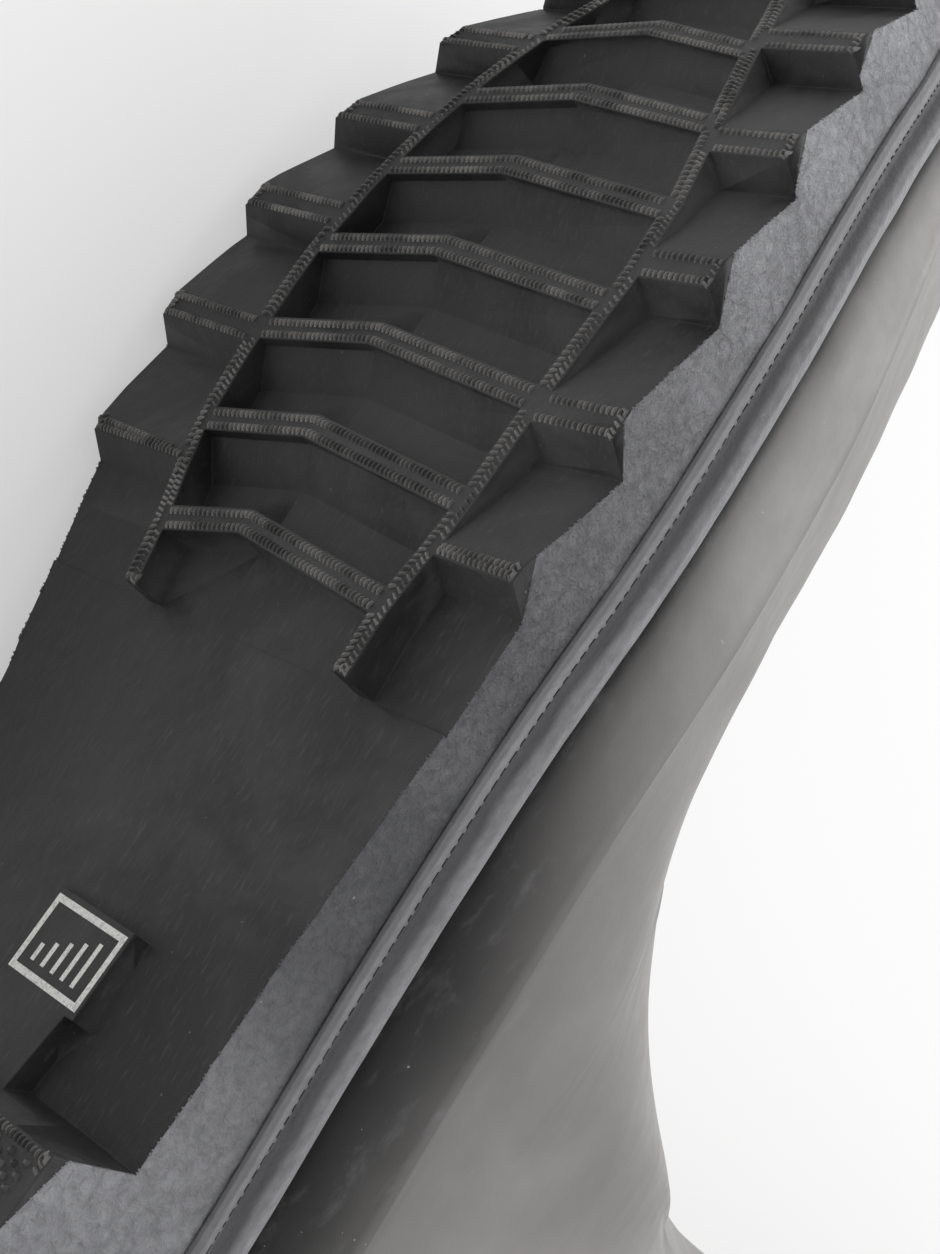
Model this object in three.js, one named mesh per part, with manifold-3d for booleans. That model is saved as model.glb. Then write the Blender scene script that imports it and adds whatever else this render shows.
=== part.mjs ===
// Rubber boot for the left foot, built as it is worn and then laid on its inner side.
// Worn frame, in millimetres: x runs from the heel's back to the toe, +y is the outer (lateral) side,
// z is up from the ground. The last step turns the whole boot so that it lies still on the floor.
import * as THREE from "three";
import { mergeVertices } from "three/addons/utils/BufferGeometryUtils.js";
import Module from "manifold-3d";

const wasm = await Module();
wasm.setup();

// Sole sizes
const soleLength = 300;
const ballWidth = 102.6;
const sideSwing = 6.5;
const heelRound = 40;
const toeRound = 70;
const toeSpring = 23.3;
const springStart = 200;
const treadDepth = 5;
const heelHeight = 15.6;
const heelLength = 89;
const breastRun = 3;
const waistRows = 5;
const waistDome = 9.2;
const innerDraft = 2.4;
const foreSide = 12.4;
const heelSide = 25.6;

// Tread sizes
const waistLength = 63;
const railWidth = 3.2;
const railOverhang = 8.4;
const barCount = 8;
const barWidth = 3.8;
const lastBarGap = 10.3;
const toeLand = 19.4;
const apexAhead = 3.4;
const apexShift = -2.5;
const cellLip = 1.6;
const cellFloorShare = 0.55;
const lugCrest = 4.6;
const lugLean = 2.4;
const lugSkew = 2.4;
const railStart = heelLength + waistLength;
const firstBar = railStart + railOverhang;
const toeCellEnd = soleLength - toeLand;
const barPitch = (toeCellEnd - lastBarGap - firstBar) / (barCount - 1);

// Size block and its rib, which join the heel
const blockStart = 101.6;
const blockLength = 12.4;
const blockInner = 5.8;
const blockWidth = 17.6;
const blockRise = 4.9;
const ribSetback = 1.8;
const ribBury = 2;

// Trim strip, band and clearances
const clearance = 0.3;
const trimHeight = 2.4;
const trimThickness = 0.6;
const bandHeight = 4;
const bandReach = 3;
const bandRecess = 0.6;
const trimBevel = 0.2;

// Upper sizes
const upperInset = 1.2;
const wallThickness = 2.2;
const sideBulge = 2.6;
const bulgeRise = 12;
const seamStep = 0.7;
const seamHeight = 25;
const toeSeamHeight = 13;
const sectionPower = 2.3;
const roundingBase = 8;
const vampHeight = 68;
const toeCapRound = 34;
const ridgeShift = -4;
const collarHeight = 385;
const shaftDepth = 146;
const shaftWidth = 118;
const shaftShift = 2;
const ankleHeight = 55;
const throatFillet = 12;
const filletFrom = 62;
const filletFull = 120;

// Insole
const insoleThickness = 3.5;

// Resolution, and how far the cutters run past what they cut
const stations = 32;
const bisections = 30;
const layingRounds = 8;
const cutBeyond = 50;
const cutBelow = 6;
const hairline = 0.1;

// Plan of the sole: along is a share of the length, centre of the swing, half of half the ball width
const SOLE_PLAN = [
  { along: 0.0, centre: 0.15, half: 0.73 },
  { along: 0.13, centre: 0.2, half: 0.735 },
  { along: 0.3, centre: 0.5, half: 0.733 },
  { along: 0.387, centre: 0.55, half: 0.765 },
  { along: 0.44, centre: 0.52, half: 0.81 },
  { along: 0.5, centre: 0.31, half: 0.88 },
  { along: 0.56, centre: -0.04, half: 0.944 },
  { along: 0.633, centre: -0.42, half: 1.0 },
  { along: 0.71, centre: -0.7, half: 0.994 },
  { along: 0.787, centre: -0.88, half: 0.917 },
  { along: 0.86, centre: -0.98, half: 0.864 },
  { along: 1.0, centre: -1.0, half: 0.864 },
];

// How far the waist's edge and the trim line have risen from forefoot to heel, as shares of the rise
const WAIST_EDGE = [
  { along: 0.3, rise: 1.0 },
  { along: 0.343, rise: 0.9 },
  { along: 0.39, rise: 0.667 },
  { along: 0.425, rise: 0.486 },
  { along: 0.46, rise: 0.305 },
  { along: 0.505, rise: 0.124 },
  { along: 0.557, rise: 0.0 },
];
const TRIM_LINE = [
  { along: 0.0, rise: 1.0 },
  { along: 0.27, rise: 0.97 },
  { along: 0.343, rise: 0.76 },
  { along: 0.39, rise: 0.56 },
  { along: 0.44, rise: 0.34 },
  { along: 0.49, rise: 0.12 },
  { along: 0.57, rise: 0.0 },
  { along: 1.0, rise: 0.0 },
];

// Inner edges of the two rails, as shares of half the ball width
const RAILS = [
  { along: 0.5, medial: -0.26, lateral: 0.6 },
  { along: 0.537, medial: -0.33, lateral: 0.58 },
  { along: 0.59, medial: -0.46, lateral: 0.605 },
  { along: 0.643, medial: -0.515, lateral: 0.6 },
  { along: 0.697, medial: -0.542, lateral: 0.604 },
  { along: 0.743, medial: -0.538, lateral: 0.566 },
  { along: 0.8, medial: -0.515, lateral: 0.445 },
  { along: 0.85, medial: -0.472, lateral: 0.31 },
  { along: 0.9, medial: -0.39, lateral: 0.165 },
  { along: 0.95, medial: -0.2, lateral: -0.03 },
];

// Heel-side crest edge of each side lug at the outline, as a share of the way from rail start to toe
const LUGS = [
  { lateral: 0.122, medial: 0.126 },
  { lateral: 0.276, medial: 0.278 },
  { lateral: 0.434, medial: 0.424 },
  { lateral: 0.582, medial: 0.556 },
  { lateral: 0.726, medial: 0.688 },
  { lateral: 0.858, medial: 0.814 },
];

// Height of the foot form's ridge, as a share of the vamp height
const RIDGE = [
  { along: 0.0, top: 0.9 },
  { along: 0.13, top: 1.25 },
  { along: 0.33, top: 1.9 },
  { along: 0.43, top: 1.88 },
  { along: 0.45, top: 1.71 },
  { along: 0.465, top: 1.57 },
  { along: 0.48, top: 1.45 },
  { along: 0.497, top: 1.34 },
  { along: 0.525, top: 1.22 },
  { along: 0.557, top: 1.11 },
  { along: 0.59, top: 1.035 },
  { along: 0.633, top: 1.005 },
  { along: 0.72, top: 0.988 },
  { along: 0.84, top: 0.975 },
  { along: 1.0, top: 0.95 },
];

// Shaft: up is a share of the collar height, back and front of its depth, half of half its width
const SHAFT = [
  { up: 0.05, back: 0.02, front: 0.54, half: 0.6 },
  { up: 0.155, back: 0.0, front: 0.66, half: 0.65 },
  { up: 0.26, back: 0.017, front: 0.81, half: 0.71 },
  { up: 0.365, back: 0.04, front: 0.87, half: 0.78 },
  { up: 0.47, back: 0.048, front: 0.885, half: 0.84 },
  { up: 0.62, back: 0.034, front: 0.932, half: 0.915 },
  { up: 0.78, back: 0.014, front: 0.973, half: 0.966 },
  { up: 1.0, back: 0.0, front: 1.0, half: 1.0 },
];

// Levels of the upper between seam and throat: height at the back, reach along the vamp
const VAMP_LEVELS = [
  { back: 0.765, reach: 0.992 },
  { back: 0.78, reach: 0.98 },
  { back: 0.8, reach: 0.962 },
  { back: 0.82, reach: 0.937 },
  { back: 0.84, reach: 0.9 },
  { back: 0.862, reach: 0.85 },
  { back: 0.885, reach: 0.785 },
  { back: 0.908, reach: 0.72 },
  { back: 0.932, reach: 0.66 },
  { back: 0.96, reach: 0.61 },
  { back: 1.0, reach: 0.57 },
  { back: 1.07, reach: 0.54 },
  { back: 1.16, reach: 0.515 },
  { back: 1.27, reach: 0.495 },
  { back: 1.4, reach: 0.476 },
  { back: 1.56, reach: 0.459 },
];

// Levels of the upper from the throat to the collar, as shares of the collar height
const SHAFT_LEVELS = [
  { back: 0.325, front: 0.325 },
  { back: 0.36, front: 0.36 },
  { back: 0.4, front: 0.405 },
  { back: 0.45, front: 0.455 },
  { back: 0.52, front: 0.525 },
  { back: 0.6, front: 0.6 },
  { back: 0.69, front: 0.69 },
  { back: 0.79, front: 0.79 },
  { back: 0.9, front: 0.9 },
  { back: 1.0, front: 1.0 },
];

// Smooth value of a table's column between its rows, without overshoot
function column(table, at, key, value) {
  const last = table.length - 1;
  if (value <= table[0][at]) return table[0][key];
  if (value >= table[last][at]) return table[last][key];
  const slope = (i) => (table[i + 1][key] - table[i][key]) / (table[i + 1][at] - table[i][at]);
  const tangent = (i) => {
    if (i === 0) return slope(0);
    if (i === last) return slope(last - 1);
    const before = slope(i - 1);
    const after = slope(i);
    return before * after <= 0 ? 0 : (2 * before * after) / (before + after);
  };
  let i = 0;
  while (value > table[i + 1][at]) i += 1;
  const width = table[i + 1][at] - table[i][at];
  const t = (value - table[i][at]) / width;
  const ease = t * t * (3 - 2 * t);
  const bend = t * (1 - t) * width * ((1 - t) * tangent(i) - t * tangent(i + 1));
  return table[i][key] * (1 - ease) + table[i + 1][key] * ease + bend;
}

const along = (table, key, x) => column(table, "along", key, x / soleLength);
const mix = (a, b, t) => a + (b - a) * t;
const smoothstep = (a, b, x) => THREE.MathUtils.smoothstep(x, a, b);

// Sole surfaces
const tread = (x) => toeSpring * Math.max(0, (x - springStart) / (soleLength - springStart)) ** 2;
const trimLow = (x) => mix(foreSide, heelSide, along(TRIM_LINE, "rise", x)) + tread(x);
const soleTop = (x) => trimLow(x) + trimHeight / 2;
const waistEdge = (x) => mix(treadDepth, heelHeight, along(WAIST_EDGE, "rise", x));
const centreLine = (x) => sideSwing * along(SOLE_PLAN, "centre", x);

// Half width of the plan drawn in by an inset, with both ends rounded
function planHalf(x, inset) {
  const heel = Math.max(0, (heelRound - x) / (heelRound - inset));
  const toe = Math.max(0, (x - soleLength + toeRound) / (toeRound - inset));
  const square = (ballWidth / 2) * along(SOLE_PLAN, "half", x) - inset;
  return square * Math.sqrt(Math.max(0, 1 - heel * heel)) * Math.sqrt(Math.max(0, 1 - toe * toe));
}

// Lengthwise position of a station: close together at both ends
const stationX = (i, start, end) => mix(start, end, (1 - Math.cos((Math.PI * i) / stations)) / 2);

// Outline of the plan as a closed loop, out along the lateral side and back along the medial one
function planLoop() {
  return aroundBoot((i, side) => {
    const x = stationX(i, 0, soleLength);
    return new THREE.Vector3(x, centreLine(x) + side * planHalf(x, 0), 0);
  });
}

// Closed loop of points placed by station and side
function aroundBoot(place) {
  const loop = [];
  for (let i = 0; i <= stations; i += 1) loop.push(place(i, 1));
  for (let i = stations - 1; i > 0; i -= 1) loop.push(place(i, -1));
  return loop;
}

// Outward directions of a closed loop, level with the ground
function loopNormals(loop) {
  return loop.map((point, i) => {
    const next = loop[(i + 1) % loop.length];
    const before = loop[(i + loop.length - 1) % loop.length];
    return new THREE.Vector3(before.y - next.y, next.x - before.x, 0).normalize();
  });
}

// Closed solid from points and four-cornered faces; corners that coincide are merged
function solid(points, quads) {
  const positions = new Float32Array(points.flatMap((p) => [p.x, p.y, p.z]));
  const index = quads.flatMap(([a, b, c, d]) => [a, b, c, a, c, d]);
  const geometry = new THREE.BufferGeometry();
  geometry.setAttribute("position", new THREE.BufferAttribute(positions, 3));
  geometry.setIndex(index);
  return toManifold(geometry);
}

function toManifold(geometry) {
  const bare = geometry.clone();
  bare.deleteAttribute("normal");
  bare.deleteAttribute("uv");
  const merged = mergeVertices(bare, 1e-4);
  const corners = Array.from(merged.index.array);
  const triVerts = [];
  for (let i = 0; i < corners.length; i += 3) {
    const [a, b, c] = corners.slice(i, i + 3);
    if (a !== b && b !== c && c !== a) triVerts.push(a, b, c);
  }
  const vertProperties = merged.attributes.position.array;
  const mesh = new wasm.Mesh({ numProp: 3, vertProperties, triVerts: new Uint32Array(triVerts) });
  return new wasm.Manifold(mesh);
}

// Solid between two surfaces over a grid; every grid point is { x, y, low, high }
function slab(rows) {
  const across = rows[0].length;
  const count = rows.length * across;
  const flat = rows.flat();
  const low = flat.map((p) => new THREE.Vector3(p.x, p.y, p.low));
  const high = flat.map((p) => new THREE.Vector3(p.x, p.y, p.high));
  const at = (i, j) => i * across + j;
  const quads = [];
  for (let i = 0; i < rows.length - 1; i += 1) {
    for (let j = 0; j < across - 1; j += 1) {
      const corners = [at(i, j), at(i + 1, j), at(i + 1, j + 1), at(i, j + 1)];
      quads.push(corners.map((c) => c + count));
      quads.push([...corners].reverse());
    }
  }
  const wall = (a, b) => quads.push([a, b, b + count, a + count]);
  for (let i = 0; i < rows.length - 1; i += 1) {
    wall(at(i, 0), at(i + 1, 0));
    wall(at(i + 1, across - 1), at(i, across - 1));
  }
  for (let j = 0; j < across - 1; j += 1) {
    wall(at(0, j + 1), at(0, j));
    wall(at(rows.length - 1, j), at(rows.length - 1, j + 1));
  }
  return solid([...low, ...high], quads);
}

// Hollow solid from loops of points that follow each other round its section and close on the first
function tube(loops) {
  const around = loops[0].length;
  const quads = [];
  loops.forEach((loop, k) => {
    const next = ((k + 1) % loops.length) * around;
    for (let j = 0; j < around; j += 1) {
      const step = (j + 1) % around;
      quads.push([k * around + j, next + j, next + step, k * around + step]);
    }
  });
  return solid(loops.flat(), quads);
}

// Whole sole before the tread is cut; the inner side leans in over the tread's depth
function soleEnvelope() {
  const rows = [];
  for (let i = 0; i <= stations; i += 1) {
    const x = stationX(i, 0, soleLength);
    const half = planHalf(x, 0);
    const full = Math.min(1, half / heelRound);
    const high = soleTop(x);
    const low = tread(x);
    rows.push([
      { x, y: centreLine(x) - half, low: low + full * treadDepth, high },
      { x, y: centreLine(x) - half + full * innerDraft, low, high },
      { x, y: centreLine(x) + half, low, high },
    ]);
  }
  return slab(rows);
}

// Height of the waist's underside, lower along the middle than at its edges
function waistFloor(x, y) {
  const offCentre = (y - centreLine(x)) / planHalf(x, 0);
  const dome = waistDome * along(WAIST_EDGE, "rise", x) * Math.max(0, 1 - offCentre * offCentre);
  return waistEdge(x) - dome;
}

const railInner = (x, side) => (ballWidth / 2) * along(RAILS, side > 0 ? "lateral" : "medial", x);
const railOuter = (x, side) => railInner(x, side) + side * railWidth;
const barEdge = (i) => firstBar + i * barPitch;
const apexY = (x) => apexShift + centreLine(x) / 2;

// Space under the waist, from the heel's sloping front to the start of the rails
function waistRecess() {
  const start = heelLength + breastRun;
  const shares = [-1, -0.67, -0.33, 0, 0.33, 0.67, 1];
  const point = (x, share) => {
    const y = centreLine(x) + share * planHalf(x, 0);
    const past = Math.sign(share) * cutBeyond;
    return { x, y: Math.abs(share) === 1 ? y + past : y, low: -cutBelow, high: waistFloor(x, y) };
  };
  const slope = breastRun / heelHeight;
  const crest = shares.map((share) => ({ ...point(start, share), x: heelLength - slope, high: -1 }));
  const rows = [crest];
  for (let i = 0; i <= waistRows; i += 1) {
    const x = mix(start, railStart, i / waistRows);
    rows.push(shares.map((share) => point(x, share)));
  }
  return slab(rows);
}

// Row of three points across the tread between the rails: medial rail, apex, lateral rail
function chevron(x, rise) {
  const point = (px, y) => ({ x: px, y, low: tread(px) - cutBelow, high: tread(px) + rise });
  return [
    point(x, railInner(x, -1)),
    point(x + apexAhead, apexY(x)),
    point(x, railInner(x, 1)),
  ];
}

// Space between the waist and the first bar
function bridgeRecess() {
  const start = [-1, 0, 1].map((side) => {
    const y = side === 0 ? apexY(railStart) : railInner(railStart, side);
    return { x: railStart, y, low: -cutBelow, high: waistFloor(railStart, y) };
  });
  return slab([start, chevron(firstBar, treadDepth)]);
}

// Cell between two bars: a flat floor, then an incline up to a low lip at the next bar
function treadCell(i) {
  const start = barEdge(i) + barWidth;
  const end = barEdge(i + 1);
  const fold = mix(start, end, cellFloorShare);
  return slab([chevron(start, treadDepth), chevron(fold, treadDepth), chevron(end, cellLip)]);
}

function toeCell() {
  const start = barEdge(barCount - 1) + barWidth;
  return slab([chevron(start, treadDepth), chevron(toeCellEnd, treadDepth / 2)]);
}

// Notch between two side lugs: it deepens toward the toe and ends at the next lug's steep wall
function lugNotch(side, start, crest) {
  const row = (x, rise) => {
    const inner = x - lugSkew;
    return [
      { x: inner, y: railOuter(inner, side), low: -cutBelow, high: tread(inner) + rise },
      { x, y: side * (ballWidth / 2 + cutBeyond), low: -cutBelow, high: tread(x) + rise },
    ];
  };
  const middle = mix(start, crest - lugLean, 0.5);
  const rows = [
    row(start, 0),
    row(middle, treadDepth / 2),
    row(crest - lugLean, treadDepth),
    row(crest, 0),
  ];
  return slab(side > 0 ? rows : rows.map((points) => points.reverse()));
}

// Space between the waist and the first side lug, which carries the waist's floor on
function shankNotch(side, crest) {
  const row = (x, rise) => [railOuter(x, side), centreLine(x) + side * planHalf(x, 0)].map((y) => {
    const floor = Math.min(waistFloor(x, y), tread(x) + rise);
    return { x, y, low: -cutBelow, high: floor };
  });
  const rows = [
    row(railStart - hairline, cutBelow + treadDepth),
    row(mix(railStart, crest, 0.5), cutBelow + treadDepth),
    row(crest - lugLean, treadDepth),
    row(crest, 0),
  ];
  for (const points of rows) points.push({ ...points[1], y: points[1].y + side * cutBeyond });
  return slab(side > 0 ? rows : rows.map((points) => points.reverse()));
}

function sideNotches() {
  const cuts = [];
  for (const side of [-1, 1]) {
    const key = side > 0 ? "lateral" : "medial";
    const crest = (i) => mix(railStart, soleLength, LUGS[i][key]);
    cuts.push(shankNotch(side, crest(0)));
    for (let i = 1; i < LUGS.length; i += 1) cuts.push(lugNotch(side, crest(i - 1) + lugCrest, crest(i)));
  }
  return cuts;
}

// Block for the size mark and the rib that joins it to the heel
function sizeBlock() {
  const row = (x, inner, outer) => [inner, outer].map((y) => (
    { x, y, low: blockRise, high: waistFloor(x, y) + ribBury }
  ));
  const outer = blockInner + blockWidth;
  return slab([
    row(heelLength - ribBury, blockInner, outer - 2 * ribSetback),
    row(blockStart - hairline, blockInner, outer - ribSetback),
    row(blockStart, blockInner, outer),
    row(blockStart + blockLength, blockInner, outer),
  ]);
}

function outsole() {
  const cuts = [waistRecess(), bridgeRecess(), toeCell(), ...sideNotches()];
  for (let i = 0; i < barCount - 1; i += 1) cuts.push(treadCell(i));
  return cuts.reduce((body, cut) => body.subtract(cut), soleEnvelope()).add(sizeBlock());
}

// Foot form of the upper: how far a point lies outside it, roughly in millimetres
function outsideFoot(x, y, z, extra) {
  const inset = upperInset - extra;
  if (x <= inset || x >= soleLength - inset) return 1;
  const bulge = sideBulge * smoothstep(bandTop(x), bandTop(x) + bulgeRise, z);
  const narrow = Math.min(1, planHalf(x, inset) / heelRound);
  const side = y - centreLine(x) - ridgeShift * narrow;
  const half = planHalf(x, inset) + bulge * narrow;
  const reach = Math.max(1e-6, half - Math.sign(side) * ridgeShift * narrow);
  const base = soleTop(x) + roundingBase;
  const toe = Math.max(0, (x - soleLength + toeCapRound) / (toeCapRound - inset));
  const ridge = Math.max(base + 1, vampHeight * along(RIDGE, "top", x));
  const height = 1 + (ridge - base - 1) * Math.sqrt(Math.max(0, 1 - toe * toe));
  const up = Math.max(0, z - base) / height;
  const size = ((Math.abs(side) / reach) ** sectionPower + up ** sectionPower) ** (1 / sectionPower);
  return (size - 1) * Math.min(reach, height);
}

// Shaft form of the upper, an oval at every height that draws in below the ankle, inside the foot form
function outsideShaft(x, y, z) {
  const up = z / collarHeight;
  const back = shaftDepth * column(SHAFT, "up", "back", up);
  const front = shaftDepth * column(SHAFT, "up", "front", up);
  const half = (shaftWidth / 2) * column(SHAFT, "up", "half", up);
  const deep = (front - back) / 2;
  const oval = (Math.hypot((x - back - deep) / deep, (y - shaftShift) / half) - 1) * Math.min(deep, half);
  return oval + Math.max(0, ankleHeight - z);
}

// Both forms joined, with a soft fillet in the throat and none at the heel
function outsideUpper(x, y, z, extra) {
  const foot = outsideFoot(x, y, z, extra);
  const shaft = outsideShaft(x, y, z) - extra;
  const fillet = Math.max(hairline, throatFillet * smoothstep(filletFrom, filletFull, x));
  const blend = Math.max(0, 1 - Math.abs(foot - shaft) / fillet);
  return Math.min(foot, shaft) - (blend * blend * fillet) / 4;
}

// Last value inside between one that is inside and one that is outside
function edge(inside, outside, measure) {
  let a = inside;
  let b = outside;
  for (let i = 0; i < bisections; i += 1) {
    const middle = (a + b) / 2;
    if (measure(middle) < 0) a = middle;
    else b = middle;
  }
  return a;
}

// Ring of the upper's outer face on a level, whose height is a function of x
function upperRing(height, extra) {
  const core = heelLength / 2;
  const spine = (x) => centreLine(x) + ridgeShift * Math.min(1, planHalf(x, upperInset) / heelRound);
  const onSpine = (x) => outsideUpper(x, spine(x), height(x), extra);
  const start = edge(core, -heelRound, onSpine);
  const end = edge(core, soleLength, onSpine);
  return aroundBoot((i, side) => {
    const x = stationX(i, start, end);
    const middle = spine(x);
    const across = (value) => outsideUpper(x, value, height(x), extra);
    const y = i % stations === 0 ? middle : edge(middle, middle + side * ballWidth, across);
    return new THREE.Vector3(x, y, height(x));
  });
}

const seatLevel = (x) => soleTop(x) + clearance;
const bandFoot = (x) => trimLow(x) + trimHeight + clearance;
const bandTop = (x) => bandFoot(x) + bandHeight;
const seamLevel = (x) => {
  const rise = mix(seamHeight, toeSeamHeight, smoothstep(springStart, soleLength, x));
  return trimLow(x) + rise;
};

// Levels of the upper from its seat to the collar; up to the seam the wall stands level with the ground
function seatLevels() {
  return [
    { height: seatLevel, extra: 0 },
    { height: bandTop, extra: 0 },
    { height: (x) => mix(bandTop(x), seamLevel(x), 0.5), extra: seamStep },
    { height: (x) => seamLevel(x) - seamStep, extra: seamStep },
    { height: seamLevel, extra: 0 },
  ];
}

function vampLevels() {
  return VAMP_LEVELS.map((row) => {
    const reach = row.reach * soleLength;
    const toe = Math.max(0, (reach - soleLength + toeCapRound) / (toeCapRound - upperInset));
    const base = soleTop(reach) + roundingBase;
    const ridge = vampHeight * along(RIDGE, "top", reach);
    const front = base + (ridge - base) * Math.sqrt(1 - toe * toe);
    return { height: (x) => mix(row.back * vampHeight, front, x / reach), extra: 0 };
  });
}

function shaftLevels() {
  return SHAFT_LEVELS.map((row) => (
    { height: (x) => collarHeight * mix(row.back, row.front, x / shaftDepth), extra: 0 }
  ));
}

// Outward direction of the upper's face at a point
function upperNormal(point) {
  const h = 0.5;
  const at = (dx, dy, dz) => outsideUpper(point.x + dx, point.y + dy, point.z + dz, 0);
  const normal = new THREE.Vector3(
    at(h, 0, 0) - at(-h, 0, 0),
    at(0, h, 0) - at(0, -h, 0),
    at(0, 0, h) - at(0, 0, -h),
  );
  return normal.normalize();
}

// One hollow wall from the seat to the collar; the seam is a step in its outer face only
function upper() {
  const low = seatLevels();
  const vamp = vampLevels();
  const levels = [...low, ...vamp, ...shaftLevels()];
  const outer = levels.map((level) => upperRing(level.height, level.extra));
  const plain = levels.map((level) => upperRing(level.height, 0));
  const inner = plain.map((ring, k) => {
    const normals = loopNormals(ring);
    const flat = k < low.length || k > low.length + vamp.length;
    return ring.map((point, j) => {
      const normal = flat ? normals[j] : upperNormal(point);
      return point.clone().addScaledVector(normal, -wallThickness);
    });
  });
  return tube([...outer, ...inner.reverse()]);
}

// Loop moved outward from a given one and lifted to a height above the trim line
function edgeLoop(loop, out, up) {
  const normals = loopNormals(loop);
  return loop.map((point, j) => {
    const moved = point.clone().addScaledVector(normals[j], out);
    moved.z = trimLow(point.x) + up;
    return moved;
  });
}

// Strip round the top of the sole, over the joint with the upper
function trimStrip() {
  const face = clearance + trimThickness;
  const section = [
    { out: clearance, up: 0 },
    { out: face, up: trimBevel },
    { out: face, up: trimHeight - trimBevel },
    { out: clearance, up: trimHeight },
  ];
  return tube(section.map((s) => edgeLoop(planLoop(), s.out, s.up)));
}

// Band over the upper's foot: a recessed step below a rounded bead
function foxingBand() {
  const foot = trimHeight + clearance;
  const face = [
    { out: bandRecess, up: foot },
    { out: bandRecess, up: foot + 0.15 * bandHeight },
    { out: bandReach * 0.75, up: foot + 0.36 * bandHeight },
    { out: bandReach, up: foot + 0.55 * bandHeight },
    { out: bandReach, up: foot + 0.8 * bandHeight },
    { out: bandReach * 0.75, up: foot + bandHeight },
  ];
  const outside = face.map((s) => edgeLoop(planLoop(), s.out, s.up));
  const seat = upperRing(bandFoot, 0);
  return tube([
    edgeLoop(seat, clearance, foot),
    ...outside,
    edgeLoop(seat, clearance, foot + bandHeight),
  ]);
}

// Insole, seated on the sole just inside the upper's wall
function insole() {
  const loop = edgeLoop(upperRing(seatLevel, 0), -wallThickness - clearance, 0);
  const rows = [];
  for (let i = 0; i <= stations; i += 1) {
    const pair = [loop[(loop.length - i) % loop.length], loop[i]];
    rows.push(pair.map(({ x, y }) => {
      const low = soleTop(x) + clearance;
      return { x, y, low, high: low + insoleThickness };
    }));
  }
  return slab(rows);
}

// Mesh of a solid with its own material
function piece(name, body, color, roughness) {
  const { vertProperties, triVerts } = body.getMesh();
  const geometry = new THREE.BufferGeometry();
  geometry.setAttribute("position", new THREE.BufferAttribute(vertProperties, 3));
  geometry.setIndex(new THREE.BufferAttribute(triVerts, 1));
  geometry.computeVertexNormals();
  const mesh = new THREE.Mesh(geometry, new THREE.MeshStandardMaterial({ color, roughness, metalness: 0 }));
  mesh.name = name;
  return mesh;
}

const boot = new THREE.Group();
boot.name = "rubber_boot";
boot.add(piece("outsole", outsole(), 0x2b2b2d, 0.75));
boot.add(piece("trim_strip", trimStrip(), 0x9a9a9c, 0.7));
boot.add(piece("foxing_band", foxingBand(), 0x77777a, 0.6));
boot.add(piece("upper", upper(), 0x6f6c6a, 0.5));
boot.add(piece("insole", insole(), 0x1f1f21, 0.9));

// Lowest vertex of the boot inside a zone of the worn frame
function lowestIn(zone, matrix) {
  let lowest = null;
  const worn = new THREE.Vector3();
  for (const mesh of boot.children) {
    const position = mesh.geometry.attributes.position;
    for (let i = 0; i < position.count; i += 1) {
      worn.fromBufferAttribute(position, i);
      if (!zone(worn)) continue;
      const placed = worn.clone().applyMatrix4(matrix);
      if (lowest === null || placed.z < lowest.z) lowest = placed;
    }
  }
  return lowest;
}

// Turn that lays the boot on its inner side, on the heel's edge, the ball's edge and the shaft
function layDown() {
  const matrix = new THREE.Matrix4().makeRotationX(Math.PI / 2);
  const zones = [
    (p) => p.z < 0.2 * collarHeight && p.x < 0.4 * soleLength,
    (p) => p.z < 0.2 * collarHeight && p.x > 0.5 * soleLength,
    (p) => p.z > 0.5 * collarHeight,
  ];
  for (let round = 0; round < layingRounds; round += 1) {
    const [heel, ball, shaft] = zones.map((zone) => lowestIn(zone, matrix));
    const plane = new THREE.Plane().setFromCoplanarPoints(heel, shaft, ball);
    const normal = plane.normal.z < 0 ? plane.normal.negate() : plane.normal;
    const turn = new THREE.Quaternion().setFromUnitVectors(normal, new THREE.Vector3(0, 0, 1));
    matrix.premultiply(new THREE.Matrix4().makeRotationFromQuaternion(turn));
  }
  return matrix;
}

const turned = layDown();
for (const mesh of boot.children) mesh.geometry.applyMatrix4(turned);
const box = new THREE.Box3().setFromObject(boot);
const centre = box.getCenter(new THREE.Vector3());
for (const mesh of boot.children) mesh.geometry.translate(-centre.x, -centre.y, -box.min.z);

export default boot;
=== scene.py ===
# %% [markdown]
# # A rubber boot, seen from under its sole
# This lesson dresses the CAD solids of a tall rubber boot. The solids hold every main form, so what is left
# is what a mould, a buffing wheel and a few years in a shop do to rubber: knurls, grain, burrs and dust.

# %% Frame
import bisect
import math
import random

import bmesh
import bpy
from mathutils import Euler, Matrix, Vector
from mathutils import noise as field
from mathutils.bvhtree import BVHTree


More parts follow.
